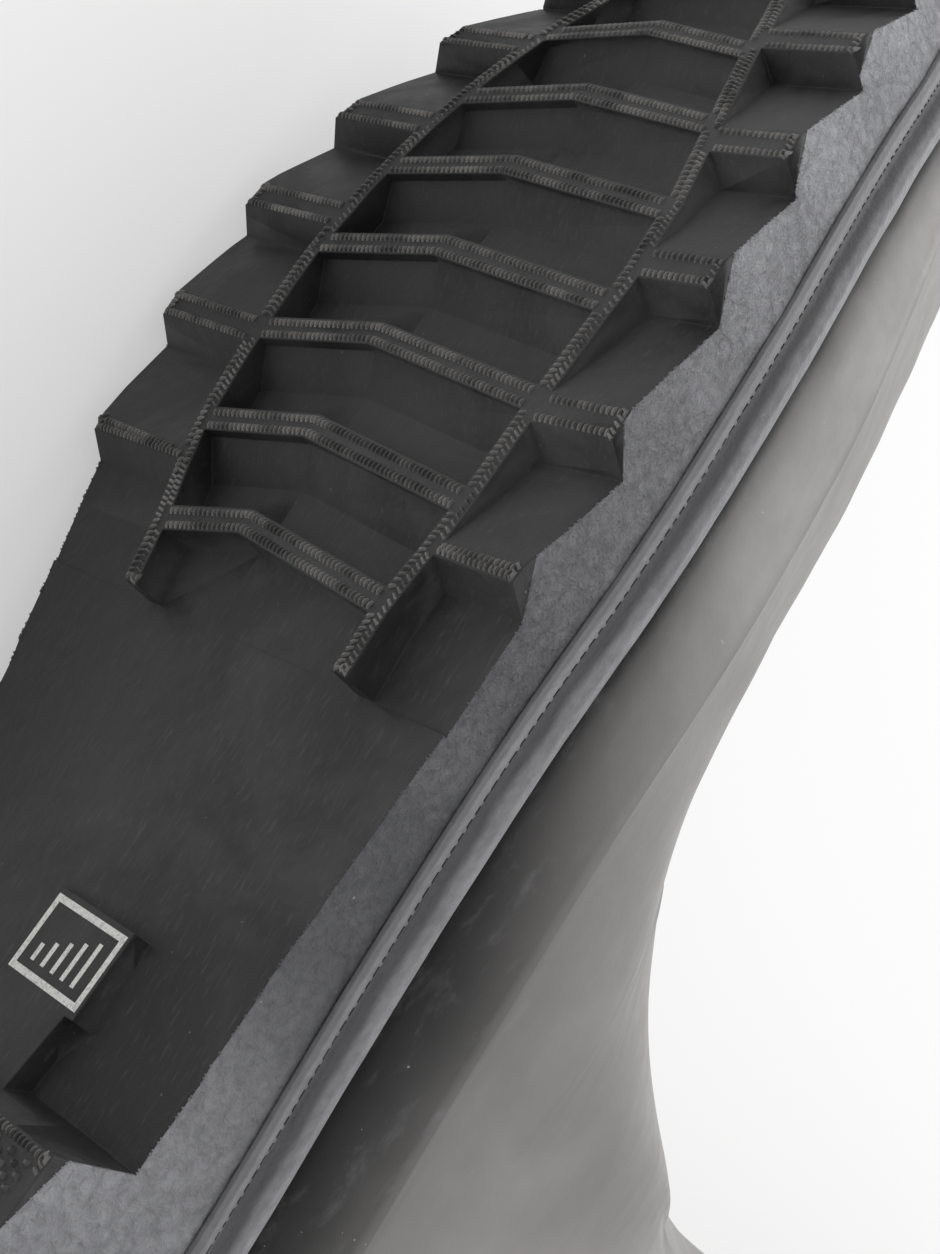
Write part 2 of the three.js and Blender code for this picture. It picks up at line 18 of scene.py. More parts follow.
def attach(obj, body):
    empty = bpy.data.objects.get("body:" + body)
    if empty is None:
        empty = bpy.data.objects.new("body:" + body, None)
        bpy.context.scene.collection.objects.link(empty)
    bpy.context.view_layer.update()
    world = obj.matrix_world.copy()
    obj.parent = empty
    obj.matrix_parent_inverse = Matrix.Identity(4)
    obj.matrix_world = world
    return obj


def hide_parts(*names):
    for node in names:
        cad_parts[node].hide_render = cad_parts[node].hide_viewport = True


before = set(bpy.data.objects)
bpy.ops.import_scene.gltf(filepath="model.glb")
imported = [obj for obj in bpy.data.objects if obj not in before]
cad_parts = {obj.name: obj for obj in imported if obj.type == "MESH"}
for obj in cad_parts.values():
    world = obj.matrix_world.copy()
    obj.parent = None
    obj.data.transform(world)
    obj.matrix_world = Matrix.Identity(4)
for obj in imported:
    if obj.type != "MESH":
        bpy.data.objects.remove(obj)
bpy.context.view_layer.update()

# %% [markdown]
# The CAD boot was drawn as it is worn, heel at x = 0, toe at +x, outer side at +y and the ground at z = 0,
# and then laid on its inner side. Details are easier to place in the worn frame, in millimetres, so this
# cell holds the turn between the two frames.

# %% Worn frame
MM = 0.001
LAID_ANGLES = (87.4331, -6.7511, 0.1684)
LAID_PLACE = (-149.1536, 192.1191, 33.3971)

turn = Euler([math.radians(angle) for angle in LAID_ANGLES]).to_matrix().to_4x4()
to_scene = Matrix.Translation(Vector(LAID_PLACE) * MM) @ turn @ Matrix.Scale(MM, 4)
to_worn = to_scene.inverted()


def box_in_worn(node):
    corners = [to_worn @ vertex.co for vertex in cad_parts[node].data.vertices]
    low = [min(corner[axis] for corner in corners) for axis in range(3)]
    high = [max(corner[axis] for corner in corners) for axis in range(3)]
    return low, high


sole_low, sole_high = box_in_worn("outsole")
print("outsole, worn frame", [round(v, 2) for v in sole_low], [round(v, 2) for v in sole_high])

# %% [markdown]
# Each skin is a copy of a CAD solid. The soft ones have their triangles merged back into four-sided faces
# and are then subdivided, while the outsole keeps its flat faces. The CAD mesh itself stays as it is.

# %% Copies of the solids
HARD_ANGLE = math.radians(32)
JOIN_ANGLE = math.radians(30)
SHAPE_ANGLE = math.radians(60)
WELD = 0.002
FACES_DOWN = -0.8


def worn_copy(node):
    mesh = bmesh.new()
    mesh.from_mesh(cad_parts[node].data)
    mesh.transform(to_worn)
    bmesh.ops.remove_doubles(mesh, verts=mesh.verts, dist=WELD)
    return mesh


def make_piece(name, mesh, materials, smooth=True, hard_angle=HARD_ANGLE):
    """A finished piece from a mesh in the worn frame; one that isn't smooth is made of many small solids."""
    if not smooth:
        bmesh.ops.recalc_face_normals(mesh, faces=mesh.faces)
    mesh.transform(to_scene)
    data = bpy.data.meshes.new(name)
    mesh.to_mesh(data)
    mesh.free()
    for material in materials:
        data.materials.append(material)
    if smooth:
        data.shade_smooth()
        data.set_sharp_from_angle(angle=hard_angle)
    piece = bpy.data.objects.new(name, data)
    bpy.context.scene.collection.objects.link(piece)
    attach(piece, "root")
    print(name, len(data.polygons), "faces")
    return piece


def smoothed(mesh, levels):
    """The mesh after Catmull-Clark subdivision, with its hard edges kept."""
    bmesh.ops.join_triangles(
        mesh, faces=mesh.faces, angle_face_threshold=JOIN_ANGLE, angle_shape_threshold=SHAPE_ANGLE
    )
    crease = mesh.edges.layers.float.new("crease_edge")
    for edge in mesh.edges:
        if len(edge.link_faces) == 2 and edge.calc_face_angle(0) > HARD_ANGLE:
            edge[crease] = 1.0
    data = bpy.data.meshes.new("rough_form")
    mesh.to_mesh(data)
    mesh.free()
    form = bpy.data.objects.new("rough_form", data)
    bpy.context.scene.collection.objects.link(form)
    modifier = form.modifiers.new("smooth", "SUBSURF")
    modifier.levels = levels
    modifier.render_levels = levels
    done = form.evaluated_get(bpy.context.evaluated_depsgraph_get()).to_mesh()
    result = bmesh.new()
    result.from_mesh(done)
    bpy.data.objects.remove(form)
    return result


strip_solid = worn_copy("trim_strip")
strip_solid.normal_update()
under_faces = [face for face in strip_solid.faces if face.normal.z < FACES_DOWN]
low_points = sorted((vertex.co.x, vertex.co.z) for face in under_faces for vertex in face.verts)
low_places = [place for place, height in low_points]
strip_solid.free()


def trim_line(x):
    """Height of the strip's lower edge at a place along the sole, read between its two nearest points."""
    after = bisect.bisect_left(low_places, x)
    if after == 0 or after == len(low_points):
        return low_points[min(after, len(low_points) - 1)][1]
    (x_before, z_before), (x_after, z_after) = low_points[after - 1 : after + 1]
    share = (x - x_before) / max(x_after - x_before, WELD)
    return z_before + (z_after - z_before) * min(1.0, share)


def mark_heights(mesh, name):
    """Gives each vertex its height above the trim line, for the finish to read."""
    layer = mesh.verts.layers.float.new(name)
    for vertex in mesh.verts:
        vertex[layer] = vertex.co.z - trim_line(vertex.co.x)


# %% [markdown]
# Every finish below is built from the same few parts: a noise for colour, a noise for gloss and one or two
# bumps. The noises read the worn frame in millimetres, so a scale of 1 gives grains about a millimetre wide.

# %% Finish helpers
WHITE = (1.0, 1.0, 1.0, 1.0)


def new_finish(name):
    material = bpy.data.materials.new(name)
    material.use_nodes = True
    tree = material.node_tree
    return material, tree, tree.nodes["Principled BSDF"]


def worn_vector(tree):
    place = tree.nodes.new("ShaderNodeTexCoord")
    mapping = tree.nodes.new("ShaderNodeMapping")
    back, spin, _ = to_worn.decompose()
    mapping.inputs["Location"].default_value = back
    mapping.inputs["Rotation"].default_value = spin.to_euler()
    mapping.inputs["Scale"].default_value = (1 / MM, 1 / MM, 1 / MM)
    tree.links.new(place.outputs["Object"], mapping.inputs["Vector"])
    return mapping.outputs["Vector"]


def grain(tree, vector, scale, detail=3.0, roughness=0.5, distortion=0.0):
    texture = tree.nodes.new("ShaderNodeTexNoise")
    texture.inputs["Scale"].default_value = scale
    texture.inputs["Detail"].default_value = detail
    texture.inputs["Roughness"].default_value = roughness
    texture.inputs["Distortion"].default_value = distortion
    tree.links.new(vector, texture.inputs["Vector"])
    return texture.outputs["Fac"]


def stretched(tree, vector, stretch):
    mapping = tree.nodes.new("ShaderNodeMapping")
    mapping.inputs["Scale"].default_value = stretch
    tree.links.new(vector, mapping.inputs["Vector"])
    return mapping.outputs["Vector"]


def span(tree, value, start, end, low=0.0, high=1.0):
    limits = tree.nodes.new("ShaderNodeMapRange")
    limits.interpolation_type = "SMOOTHSTEP"
    limits.inputs["From Min"].default_value = start
    limits.inputs["From Max"].default_value = end
    limits.inputs["To Min"].default_value = low
    limits.inputs["To Max"].default_value = high
    tree.links.new(value, limits.inputs["Value"])
    return limits.outputs["Result"]


def blend(tree, factor, first, second, mode="MIX"):
    mixer = tree.nodes.new("ShaderNodeMix")
    mixer.data_type = "RGBA"
    mixer.blend_type = mode
    tree.links.new(factor, mixer.inputs["Factor"])
    for socket, colour in ((mixer.inputs["A"], first), (mixer.inputs["B"], second)):
        if isinstance(colour, tuple):
            socket.default_value = (*colour, 1.0)
        else:
            tree.links.new(colour, socket)
    return mixer.outputs["Result"]


def reckon(tree, operation, first, second):
    sums = tree.nodes.new("ShaderNodeMath")
    sums.operation = operation
    for socket, value in zip(sums.inputs, (first, second)):
        if isinstance(value, (int, float)):
            socket.default_value = value
        else:
            tree.links.new(value, socket)
    return sums.outputs["Value"]


def scaled(tree, colour, factor):
    product = tree.nodes.new("ShaderNodeVectorMath")
    product.operation = "SCALE"
    tree.links.new(colour, product.inputs[0])
    tree.links.new(factor, product.inputs["Scale"])
    return product.outputs["Vector"]


def bump(tree, height, strength, distance, below=None):
    relief = tree.nodes.new("ShaderNodeBump")
    relief.inputs["Strength"].default_value = strength
    relief.inputs["Distance"].default_value = distance * MM
    tree.links.new(height, relief.inputs["Height"])
    if below is not None:
        tree.links.new(below, relief.inputs["Normal"])
    return relief.outputs["Normal"]


def worn_part(tree, vector, axis):
    parts = tree.nodes.new("ShaderNodeSeparateXYZ")
    tree.links.new(vector, parts.inputs["Vector"])
    return parts.outputs[axis]


def soft_edges(tree, radius):
    corners = tree.nodes.new("ShaderNodeBevel")
    corners.samples = 6
    corners.inputs["Radius"].default_value = radius * MM
    return corners.outputs["Normal"]


# %% [markdown]
# The tread is black rubber straight from the mould: matte, a little cloudy, with pale dust caught in its
# fine grain. Its edges aren't knife sharp, because rubber fills a mould's corner with a small radius.

# %% Black tread rubber
TREAD_BLACK = (0.02, 0.02, 0.0205)
TREAD_WORN = (0.05, 0.05, 0.051)
TREAD_DUST = (0.12, 0.118, 0.115)
INNER_PAINTED_SHADE = 0.45
INNER_UNTIL = -40
OUTER_FROM = 15


def tread_rubber():
    material, tree, shader = new_finish("tread_rubber")
    vector = worn_vector(tree)
    clouds = span(tree, grain(tree, vector, 0.045, 5.0, 0.62, 0.6), 0.34, 0.7)
    colour = blend(tree, clouds, TREAD_BLACK, TREAD_WORN)
    brushed = grain(tree, stretched(tree, vector, (0.25, 1.4, 1.0)), 1.2, 4.0, 0.6)
    colour = blend(tree, span(tree, brushed, 0.52, 0.85, 0.0, 0.35), colour, TREAD_DUST)
    # Painted shade: the tread's colour is darkened towards the inner side of the sole.
    sideways = worn_part(tree, vector, "Y")
    colour = scaled(tree, colour, span(tree, sideways, INNER_UNTIL, OUTER_FROM, INNER_PAINTED_SHADE, 1.0))
    specks = span(tree, grain(tree, vector, 0.9, 2.0), 0.76, 0.8, 0.0, 0.8)
    colour = blend(tree, specks, colour, TREAD_DUST)
    tree.links.new(colour, shader.inputs["Base Color"])
    tree.links.new(span(tree, clouds, 0.0, 1.0, 0.5, 0.68), shader.inputs["Roughness"])
    fine = bump(tree, grain(tree, vector, 4.5, 3.0, 0.6), 0.35, 0.12, soft_edges(tree, 0.35))
    normal = bump(tree, grain(tree, vector, 0.35, 4.0, 0.55), 0.35, 0.5, fine)
    tree.links.new(normal, shader.inputs["Normal"])
    shader.inputs["Specular IOR Level"].default_value = 0.26
    return material


# %% [markdown]
# The knurls are of the same rubber, but their tips have been polished by handling and hold grey dust. Their
# pale colour is partly that dust and partly a painted highlight.

# %% Knurl rubber
KNURL_DARK = (0.03, 0.0295, 0.029)
KNURL_DUST_AND_HIGHLIGHT = (0.165, 0.16, 0.154)


def knurl_rubber():
    material, tree, shader = new_finish("knurl_rubber")
    vector = worn_vector(tree)
    dust_and_highlight = span(tree, grain(tree, vector, 0.12, 4.0, 0.6), 0.34, 0.66)
    # Partly painted highlight: the pale colour is dust and also stands in for light on the ridges.
    tree.links.new(blend(tree, dust_and_highlight, KNURL_DARK, KNURL_DUST_AND_HIGHLIGHT), shader.inputs["Base Color"])
    tree.links.new(span(tree, dust_and_highlight, 0.0, 1.0, 0.42, 0.6), shader.inputs["Roughness"])
    tree.links.new(bump(tree, grain(tree, vector, 3.5, 2.0), 0.3, 0.1), shader.inputs["Normal"])
    shader.inputs["Specular IOR Level"].default_value = 0.4
    return material


# %% [markdown]
# The side of the sole was buffed on a wheel before the band was laid, which leaves a grey nap like suede.
# It is coarser along the forefoot, where more rubber was taken off. Its colour is scaled along the sole as
# painted light and shade: brighter at the heel and toe, darkest at the waist.

# %% Buffed side
BUFFED_DARK = (0.13, 0.131, 0.138)
BUFFED_LIGHT = (0.2, 0.201, 0.211)
BUFFED_FLECK = (0.34, 0.34, 0.35)
COARSE_FROM = 125
COARSE_FULL = 175
PAINTED_HEEL_LIGHT_END = 85
WAIST_FROM = 130
WAIST_END = 105
PAINTED_TOE_LIGHT_FROM = 275
HEEL_PAINTED_LIGHT = 1.5
WAIST_PAINTED_SHADE = 0.5
TOE_PAINTED_LIGHT = 2.55


def buffed_rubber():
    material, tree, shader = new_finish("buffed_rubber")
    vector = worn_vector(tree)
    along = worn_part(tree, vector, "X")
    coarse = span(tree, along, COARSE_FROM, COARSE_FULL, 0.35, 1.0)
    # Painted light and shade: the side's colour is brightened at the heel and toe and darkened at the waist.
    heel_painted_light = span(tree, along, PAINTED_HEEL_LIGHT_END, WAIST_FROM, HEEL_PAINTED_LIGHT, WAIST_PAINTED_SHADE)
    toe_painted_light = span(tree, along, WAIST_END, PAINTED_TOE_LIGHT_FROM, WAIST_PAINTED_SHADE, TOE_PAINTED_LIGHT)
    nap = grain(tree, vector, 0.62, 5.0, 0.68, 0.45)
    fuzz = grain(tree, vector, 2.6, 4.0, 0.7)
    patches = grain(tree, vector, 0.06, 3.0, 0.5, 0.5)
    tone = reckon(tree, "ADD", reckon(tree, "MULTIPLY", nap, 0.6), reckon(tree, "MULTIPLY", patches, 0.4))
    colour = blend(tree, span(tree, tone, 0.36, 0.64), BUFFED_DARK, BUFFED_LIGHT)
    colour = scaled(tree, colour, reckon(tree, "MAXIMUM", heel_painted_light, toe_painted_light))
    flecks = span(tree, grain(tree, vector, 0.75, 2.0), 0.73, 0.79, 0.0, 0.7)
    colour = blend(tree, flecks, colour, BUFFED_FLECK)
    tree.links.new(colour, shader.inputs["Base Color"])
    tree.links.new(span(tree, fuzz, 0.3, 0.7, 0.72, 0.92), shader.inputs["Roughness"])
    deep = reckon(tree, "MULTIPLY", nap, coarse)
    normal = bump(tree, deep, 1.0, 2.0, soft_edges(tree, 0.25))
    normal = bump(tree, reckon(tree, "MULTIPLY", fuzz, coarse), 0.8, 0.6, normal)
    tree.links.new(normal, shader.inputs["Normal"])
    shader.inputs["Specular IOR Level"].default_value = 0.3
    return material


# %% [markdown]
# The trim strip and the band were cut from calendered sheet and pressed on by hand. Strip and bead are paler
# and smoother than the buffed side, and the strip's faces show short marks of the roller.

# %% Strip and band
ABOVE_TRIM = "above_trim"
STRIP_DARK = (0.18, 0.18, 0.188)
STRIP_LIGHT = (0.26, 0.26, 0.27)
GROOVE_SHADE_AND_FOOT_DARK = (0.07, 0.07, 0.074)
STRIP_TOP = (2.45, 2.65)
GROOVE_TOP = 3.65
BEAD_FOOT = 4.25
STRIP_FOOT = (0.9, 1.5)


def sheet_rubber(name, gloss):
    material, tree, shader = new_finish(name)
    vector = worn_vector(tree)
    clouds = grain(tree, vector, 0.16, 4.0, 0.6, 0.4)
    rolled = grain(tree, stretched(tree, vector, (1.0, 1.0, 3.0)), 0.5, 4.0, 0.6)
    tone = reckon(tree, "MULTIPLY", reckon(tree, "ADD", clouds, rolled), 0.5)
    colour = blend(tree, span(tree, tone, 0.32, 0.68), STRIP_DARK, STRIP_LIGHT)
    specks = span(tree, grain(tree, vector, 0.85, 2.0), 0.74, 0.79, 0.0, 0.6)
    colour = blend(tree, specks, colour, BUFFED_FLECK)
    above = tree.nodes.new("ShaderNodeAttribute")
    above.attribute_name = ABOVE_TRIM
    # Painted shade: the groove between the strip's top and the bead's foot is darkened in colour. The strip's
    # lowest part is darkened too.
    over_strip = span(tree, above.outputs["Fac"], STRIP_TOP[0], STRIP_TOP[1])
    under_bead = span(tree, above.outputs["Fac"], GROOVE_TOP, BEAD_FOOT, 1.0, 0.0)
    groove_painted_shade = reckon(tree, "MULTIPLY", reckon(tree, "MULTIPLY", over_strip, under_bead), 0.85)
    foot = span(tree, above.outputs["Fac"], STRIP_FOOT[0], STRIP_FOOT[1], 0.55, 0.0)
    colour = blend(tree, reckon(tree, "MAXIMUM", groove_painted_shade, foot), colour, GROOVE_SHADE_AND_FOOT_DARK)
    tree.links.new(colour, shader.inputs["Base Color"])
    tree.links.new(span(tree, clouds, 0.3, 0.7, gloss, gloss + 0.18), shader.inputs["Roughness"])
    normal = bump(tree, rolled, 0.5, 0.45, soft_edges(tree, 0.3))
    normal = bump(tree, grain(tree, vector, 3.0, 2.0), 0.35, 0.14, normal)
    tree.links.new(normal, shader.inputs["Normal"])
    return material


# %% [markdown]
# The upper was dipped and then lacquered, so it has a satin gloss over warm grey. Handling has left it
# cloudy, with a few dust grains. Near the band its colour is darkened as painted shade, so colour and gloss
# follow an attribute that climbs from 0 at the band to 1 above the seam.

# %% Satin upper rubber
PAINTED_LIGHT_RAMP = "rub_streaks_and_painted_light"
UPPER_PAINTED_SHADE = (0.012, 0.0115, 0.012)
UPPER_LIGHT = (0.24, 0.232, 0.226)


def upper_rubber():
    material, tree, shader = new_finish("upper_rubber")
    vector = worn_vector(tree)
    painted_light_share = tree.nodes.new("ShaderNodeAttribute")
    painted_light_share.attribute_name = PAINTED_LIGHT_RAMP
    # Painted shade: near the band the colour falls to the dark end of the blend.
    height = span(tree, painted_light_share.outputs["Fac"], 0.0, 1.0, 0.0, 0.74)
    clouds = span(tree, grain(tree, vector, 0.03, 4.0, 0.55, 0.4), 0.32, 0.68, 0.0, 0.26)
    clouds = reckon(tree, "MULTIPLY", clouds, painted_light_share.outputs["Fac"])
    colour = blend(tree, reckon(tree, "ADD", height, clouds), UPPER_PAINTED_SHADE, UPPER_LIGHT)
    rub_streaks_and_painted_light = grain(tree, stretched(tree, vector, (0.35, 1.0, 0.8)), 0.35, 5.0, 0.65, 0.3)
    colour = blend(tree, span(tree, rub_streaks_and_painted_light, 0.5, 0.9, 0.0, 0.35), colour, STRIP_LIGHT)
    specks = span(tree, grain(tree, vector, 0.8, 2.0), 0.765, 0.8, 0.0, 0.7)
    colour = blend(tree, specks, colour, BUFFED_FLECK)
    tree.links.new(colour, shader.inputs["Base Color"])
    tree.links.new(span(tree, rub_streaks_and_painted_light, 0.3, 0.75, 0.4, 0.56), shader.inputs["Roughness"])
    normal = bump(tree, grain(tree, vector, 2.2, 3.0, 0.6), 0.22, 0.1)
    normal = bump(tree, grain(tree, vector, 0.12, 3.0, 0.5), 0.25, 0.8, normal)
    tree.links.new(normal, shader.inputs["Normal"])
    shine = span(tree, painted_light_share.outputs["Fac"], 0.0, 1.0, 0.1, 0.5)
    tree.links.new(shine, shader.inputs["Specular IOR Level"])
    coat = span(tree, painted_light_share.outputs["Fac"], 0.2, 1.0, 0.0, 0.12)
    tree.links.new(coat, shader.inputs["Coat Weight"])
    shader.inputs["Coat Roughness"].default_value = 0.42
    return material


# %% [markdown]
# Inside, the boot is lined with a knitted fabric, and the insole is a darker felt. Both are cloth, so they
# are rough, and a fine check in the bump stands for the knit's loops.

# %% Lining and insole cloth
LINING_DARK = (0.11, 0.1, 0.088)
LINING_LIGHT = (0.24, 0.222, 0.195)
FELT_DARK = (0.012, 0.012, 0.014)
FELT_LIGHT = (0.04, 0.04, 0.045)
LOOP_PITCH = 1.3


def cloth(name, dark, light):
    material, tree, shader = new_finish(name)
    vector = worn_vector(tree)
    fibres = grain(tree, vector, 1.6, 5.0, 0.7)
    colour = blend(tree, span(tree, fibres, 0.35, 0.65), dark, light)
    tree.links.new(colour, shader.inputs["Base Color"])
    tree.links.new(span(tree, fibres, 0.3, 0.7, 0.85, 0.98), shader.inputs["Roughness"])
    loops = tree.nodes.new("ShaderNodeTexVoronoi")
    loops.inputs["Scale"].default_value = 1 / LOOP_PITCH
    tree.links.new(vector, loops.inputs["Vector"])
    normal = bump(tree, loops.outputs["Distance"], 0.6, 0.5)
    tree.links.new(normal, shader.inputs["Normal"])
    shader.inputs["Sheen Weight"].default_value = 0.3
    return material


# %% [markdown]
# The size block carries a printed mark. Screen ink on rubber is thin and chalky, with pinholes.

# %% Printed ink
INK_PALE = (0.62, 0.62, 0.6)
INK_WORN = (0.36, 0.36, 0.35)


def printed_ink():
    material, tree, shader = new_finish("printed_ink")
    vector = worn_vector(tree)
    holes = span(tree, grain(tree, vector, 2.4, 4.0, 0.7), 0.3, 0.55)
    tree.links.new(blend(tree, holes, INK_WORN, INK_PALE), shader.inputs["Base Color"])
    tree.links.new(span(tree, holes, 0.0, 1.0, 0.6, 0.78), shader.inputs["Roughness"])
    tree.links.new(bump(tree, holes, 0.3, 0.1), shader.inputs["Normal"])
    return material


tread_finish = tread_rubber()
knurl_finish = knurl_rubber()
buffed_finish = buffed_rubber()
strip_finish = sheet_rubber("strip_rubber", 0.5)
band_finish = sheet_rubber("band_rubber", 0.42)
upper_finish = upper_rubber()
lining_finish = cloth("knit_lining", LINING_DARK, LINING_LIGHT)
felt_finish = cloth("insole_felt", FELT_DARK, FELT_LIGHT)
ink_finish = printed_ink()
print("finishes", len(bpy.data.materials))

# %% [markdown]
# The outsole's skin keeps the CAD faces and splits them in two finishes. A face belongs to the buffed side
# when it stands upright and lies on the sole's outline; all the others are the black tread.

# %% Outsole
SOLE_LENGTH = 300
TOE_SPRING = 23.3
SPRING_START = 200
UPRIGHT = 0.25
ON_OUTLINE = 0.6
CONTACT_SLACK = 0.25
SOLE_HARD = math.radians(16)
STAMP_FOOT = 1.5
STAMP_TIP = 0.55
STAMP_TALL = 1.3
STAMP_SINK = 0.35
BURR_PITCH = 0.5
BURR_HALF = 0.17
BURR_REACH = 0.2
TREAD_TOP = 9.0
DRAWS = 7
ALONG = Vector((1, 0, 0))
ACROSS = Vector((0, 1, 0))
UP = Vector((0, 0, 1))
DOWN = -UP

random.seed(DRAWS)


def tread_height(x):
    return TOE_SPRING * max(0.0, (x - SPRING_START) / (SOLE_LENGTH - SPRING_START)) ** 2


def is_contact(face):
    """True for a face of the tread that meets flat ground, or would if the toe didn't spring up."""
    level = all(abs(v.co.z - tread_height(v.co.x)) < CONTACT_SLACK for v in face.verts)
    return level and face.normal.z < FACES_DOWN


def is_side(face):
    """True for an upright face of the sole's side: nothing of the sole lies further out at its place."""
    outward = Vector((face.normal.x, face.normal.y, 0.0))
    if abs(face.normal.z) > UPRIGHT or outward.length == 0:
        return False
    centre = face.calc_center_median()
    crest = max(vertex.co.z for vertex in face.verts) - tread_height(centre.x)
    hidden = sole_tree.ray_cast(centre + outward * ON_OUTLINE, outward)[0] is not None
    return crest > TREAD_TOP and not hidden


def stamp(mesh, place, along, across, half_along, half_across, height, down=DOWN):
    """One small pyramid with a flat tip, sunk a little into the face it stands on."""
    sides = Matrix((along * half_along, across * half_across, down * height)).transposed().to_4x4()
    sink = Matrix.Translation(Vector((0, 0, STAMP_SINK)))
    quarter = Matrix.Rotation(math.radians(45), 4, "Z")
    bmesh.ops.create_cone(
        mesh,
        cap_ends=True,
        segments=4,
        radius1=STAMP_FOOT,
        radius2=STAMP_TIP,
        depth=STAMP_TALL,
        matrix=Matrix.Translation(place) @ sides @ sink @ quarter,
    )


def burred(mesh):
    """Flakes that the wheel left along the border between the black tread and the buffed side."""
    flakes = bmesh.new()
    mesh.normal_update()
    for edge in mesh.edges:
        if len({face.material_index for face in edge.link_faces}) != 2:
            continue
        side = max(edge.link_faces, key=lambda face: face.material_index)
        start, end = (vertex.co for vertex in edge.verts)
        run = end - start
        if run.length < BURR_PITCH / 2:
            continue
        for step in range(max(1, round(run.length / BURR_PITCH))):
            place = start + run * random.random()
            size = random.uniform(0.3, 1.1)
            half = BURR_HALF * size
            stamp(flakes, place, run.normalized(), side.normal, half, half, BURR_REACH * size)
    return flakes


outsole = worn_copy("outsole")
outsole.normal_update()
sole_tree = BVHTree.FromBMesh(outsole)
side_faces = [face for face in outsole.faces if is_side(face)]
for face in side_faces:
    face.material_index = 1
burrs = burred(outsole)
outsole_piece = make_piece("outsole_skin", outsole, [tread_finish, buffed_finish], hard_angle=SOLE_HARD)
weights = outsole_piece.modifiers.new("even_normals", "WEIGHTED_NORMAL")
weights.keep_sharp = True
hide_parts("outsole")
burr_piece = make_piece("buffed_burrs", burrs, [buffed_finish], smooth=False)

# %% [markdown]
# On the real mould the tread's contact faces are engraved with short ridges: a row along each edge of the
# cross bars, two slanted rows like a braid on the rails, and a coarse field under the heel. The rows here
# are found from the CAD mesh itself. Every edge where a contact face ends gives a row, set in from it.

# %% Rows of knurls
ROW_INSET = 0.86
ROW_PITCH = 0.95
KNURL_HEIGHT = 0.4
KNURL_HALF = 0.27
RIDGE_HALF = 0.66
BRAID_SLANT = math.radians(32)
HEEL_END = 86
HEEL_PITCH = 1.75
HEEL_EDGE = 1.9
HEEL_KNURL = 0.52
SPACING = 0.62
ROW_SHIFT = 0.06

knurls = bmesh.new()
taken = {}


def free_spot(x, y):
    """True once for each small square of the tread, so two rows never share a ridge."""
    spot = (round(x / SPACING), round(y / SPACING))
    if spot in taken:
        return False
    taken[spot] = True
    return True


def row_along(edge, face, slant):
    start, end = (vertex.co for vertex in edge.verts)
    run = end - start
    if run.length < ROW_PITCH / 2:
        return
    along = run.normalized()
    inward = along.cross(face.normal)
    if inward.dot(face.calc_center_median() - start) < 0:
        inward.negate()
    steps = max(1, round(run.length / ROW_PITCH))
    thin = along * math.cos(slant) - inward * math.sin(slant)
    wide = inward * math.cos(slant) + along * math.sin(slant)
    for step in range(steps):
        place = start + run * ((step + 0.5) / steps) + inward * ROW_INSET
        place += along * random.uniform(-ROW_SHIFT, ROW_SHIFT)
        if place.x > HEEL_END and free_spot(place.x, place.y):
            size = random.uniform(0.85, 1.1)
            stamp(knurls, place, thin, wide, KNURL_HALF * size, RIDGE_HALF, KNURL_HEIGHT * size)


plain_sole = worn_copy("outsole")
plain_sole.normal_update()
contact = {face for face in plain_sole.faces if is_contact(face)}
for edge in plain_sole.edges:
    inside = [face for face in edge.link_faces if face in contact]
    if len(inside) != 1 or len(edge.link_faces) != 2:
        continue
    run = edge.verts[1].co - edge.verts[0].co
    lengthwise = abs(run.x) > abs(run.y)
    row_along(edge, inside[0], BRAID_SLANT if lengthwise else 0.0)
rows_made = len(taken)

# %% [markdown]
# The heel wears hardest, so its pyramids are bigger. They stand in wavy rows, each row half a step out from
# the last, and stop short of the heel's edge.

# %% Heel field
HEEL_HEIGHT = 0.55
HEEL_WAVE = 0.5
WAVE_TURN = 0.45
WELL_BELOW = -20

heel_tree = BVHTree.FromBMesh(plain_sole)


def on_heel(x, y):
    for shift_x, shift_y in ((HEEL_EDGE, 0), (-HEEL_EDGE, 0), (0, HEEL_EDGE), (0, -HEEL_EDGE)):
        hit = heel_tree.ray_cast(Vector((x + shift_x, y + shift_y, WELL_BELOW)), UP)[0]
        if hit is None or hit.z > CONTACT_SLACK:
            return False
    return True


columns = int(HEEL_END / HEEL_PITCH) + 1
lines = int((sole_high[1] - sole_low[1]) / HEEL_PITCH) + 1
for line in range(lines):
    for spot in range(columns):
        x = (spot + 0.5 * (line % 2)) * HEEL_PITCH
        y = sole_low[1] + line * HEEL_PITCH + HEEL_WAVE * math.sin(x * WAVE_TURN)
        if on_heel(x, y):
            size = HEEL_KNURL * random.uniform(0.85, 1.1)
            stamp(knurls, Vector((x, y, 0)), ALONG, ACROSS, size, size, HEEL_HEIGHT)
plain_sole.free()
print("knurls in rows", rows_made)
knurl_piece = make_piece("tread_knurls", knurls, [knurl_finish], smooth=False)

# %% [markdown]
# The strip's upper edge was cut with a pinking wheel, so it is saw-toothed. The teeth are small wedges that
# sit on the edge between the strip's face and its top, found in the mesh like the rows above.

# %% Trim strip and its teeth
TOOTH_PITCH = 1.7
TOOTH_REACH = 0.5
TOOTH_HALF = 0.5
TOOTH_THIN = 0.22
TOOTH_INSET = 0.25
STEEP = 0.3


def edges_between(mesh, first, second):
    """Edges of a mesh whose two faces pass one test each."""
    found = []
    for edge in mesh.edges:
        if len(edge.link_faces) != 2:
            continue
        a, b = edge.link_faces
        if (first(a) and second(b)) or (first(b) and second(a)):
            found.append(edge)
    return found


def faces_out(face):
    return abs(face.normal.z) < STEEP


def faces_up(face):
    return face.normal.z > STEEP


